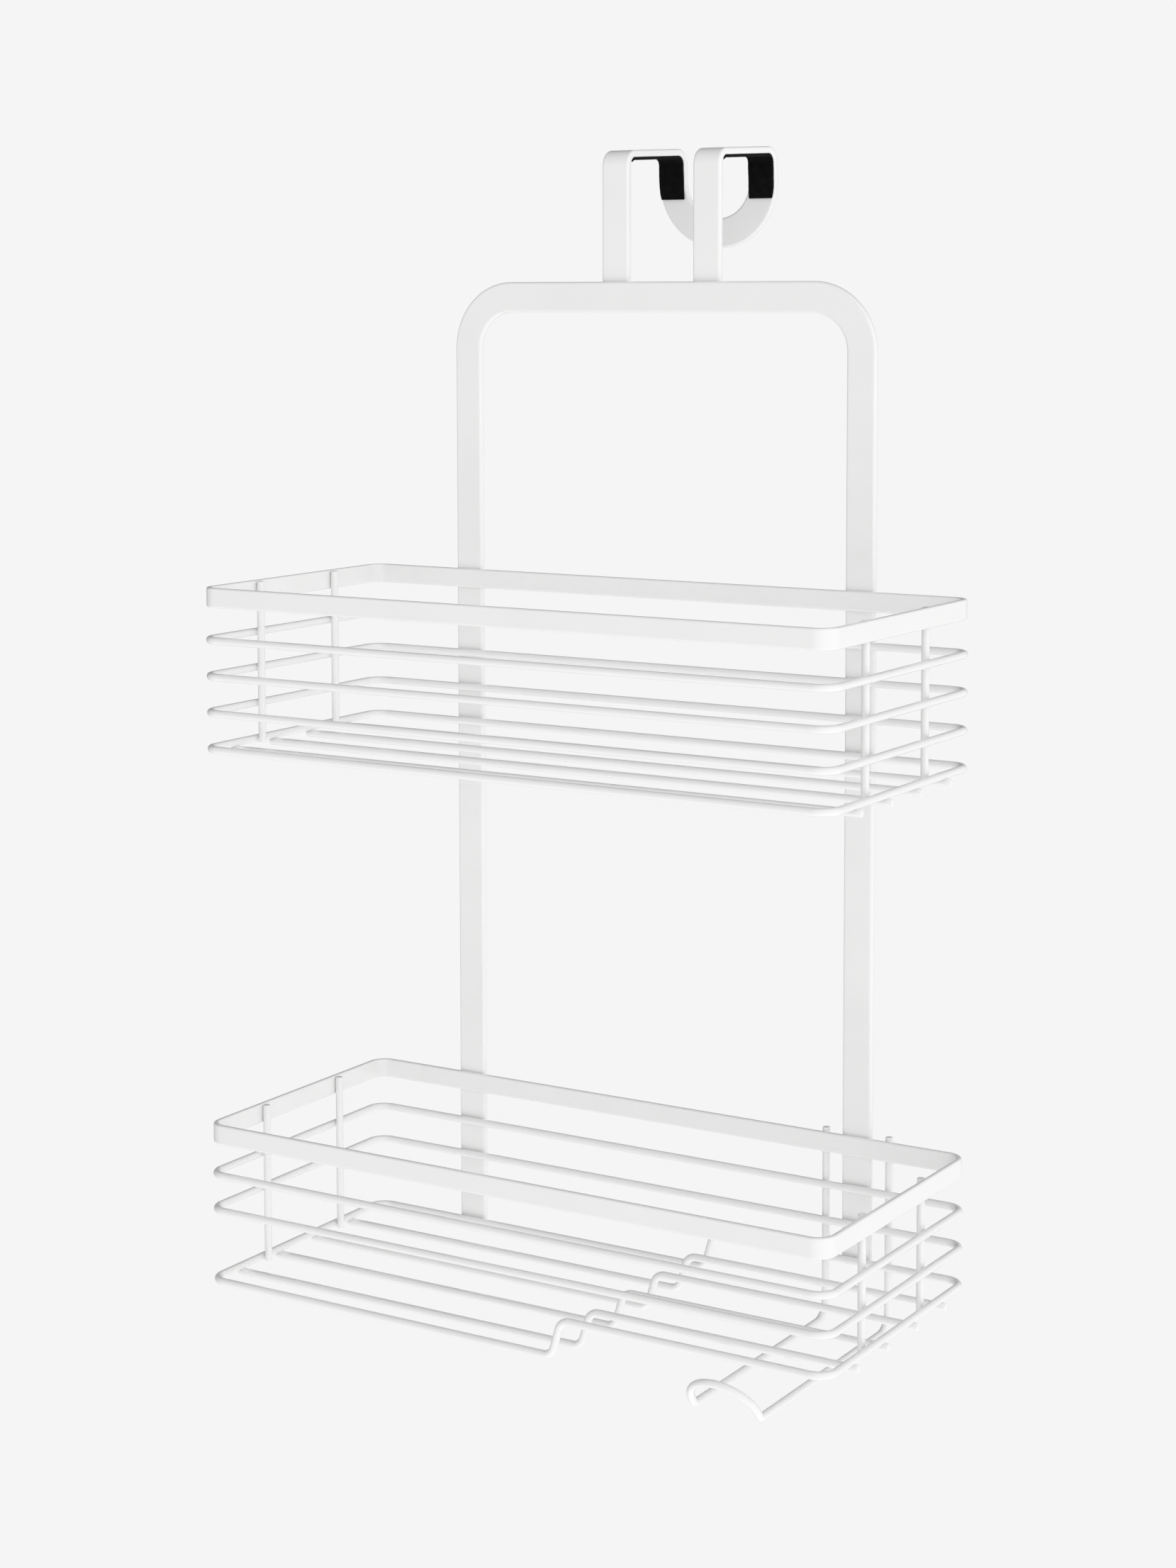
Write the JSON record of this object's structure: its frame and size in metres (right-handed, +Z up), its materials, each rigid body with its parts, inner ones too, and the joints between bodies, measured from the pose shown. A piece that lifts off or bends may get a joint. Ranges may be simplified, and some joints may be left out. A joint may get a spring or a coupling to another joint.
{
  "type": "hanging shower caddy",
  "caption": "Hanging shower caddy: flat-bar frame with an over-the-top strap hook, two tiers of wire basket, and a leaning wire holder under the lower basket.",
  "frame": {"origin": "middle of the hook's saddle: midway between the two straps and midway across the gap, on the underside of the pads, where the caddy rests on the top edge of the panel it hangs from", "axes": "+X along the baskets to the holder's side, +Y from the baskets back through the panel, +Z up"},
  "size_m": [0.34, 0.2086, 0.565],
  "materials": {
    "bar_coat": "satin white powder coat on flat bar and band",
    "wire_coat": "satin white powder coat on round wire",
    "pad": "matt black soft foam rubber"
  },
  "bodies": {
    "root": {"frame": "bar_coat", "hook": "bar_coat", "hook_pad_left": "pad", "hook_pad_right": "pad", "upper_rim": "bar_coat", "upper_ring_1": "wire_coat", "upper_ring_2": "wire_coat", "upper_ring_3": "wire_coat", "upper_base_ring": "wire_coat", "upper_floor_wire_1": "wire_coat", "upper_floor_wire_2": "wire_coat", "upper_floor_wire_3": "wire_coat", "upper_floor_wire_4": "wire_coat", "upper_upright_left_front": "wire_coat", "upper_upright_left_back": "wire_coat", "upper_upright_right_front": "wire_coat", "upper_upright_right_back": "wire_coat", "lower_rim": "bar_coat", "lower_ring_1": "wire_coat", "lower_ring_2": "wire_coat", "lower_base_ring": "wire_coat", "lower_floor_wire_1": "wire_coat", "lower_floor_wire_2": "wire_coat", "lower_floor_wire_3": "wire_coat", "lower_floor_wire_4": "wire_coat", "lower_upright_left_front": "wire_coat", "lower_upright_left_back": "wire_coat", "lower_upright_right_front": "wire_coat", "lower_upright_right_back": "wire_coat", "holder_wire": "wire_coat"}
  },
  "joints": []
}
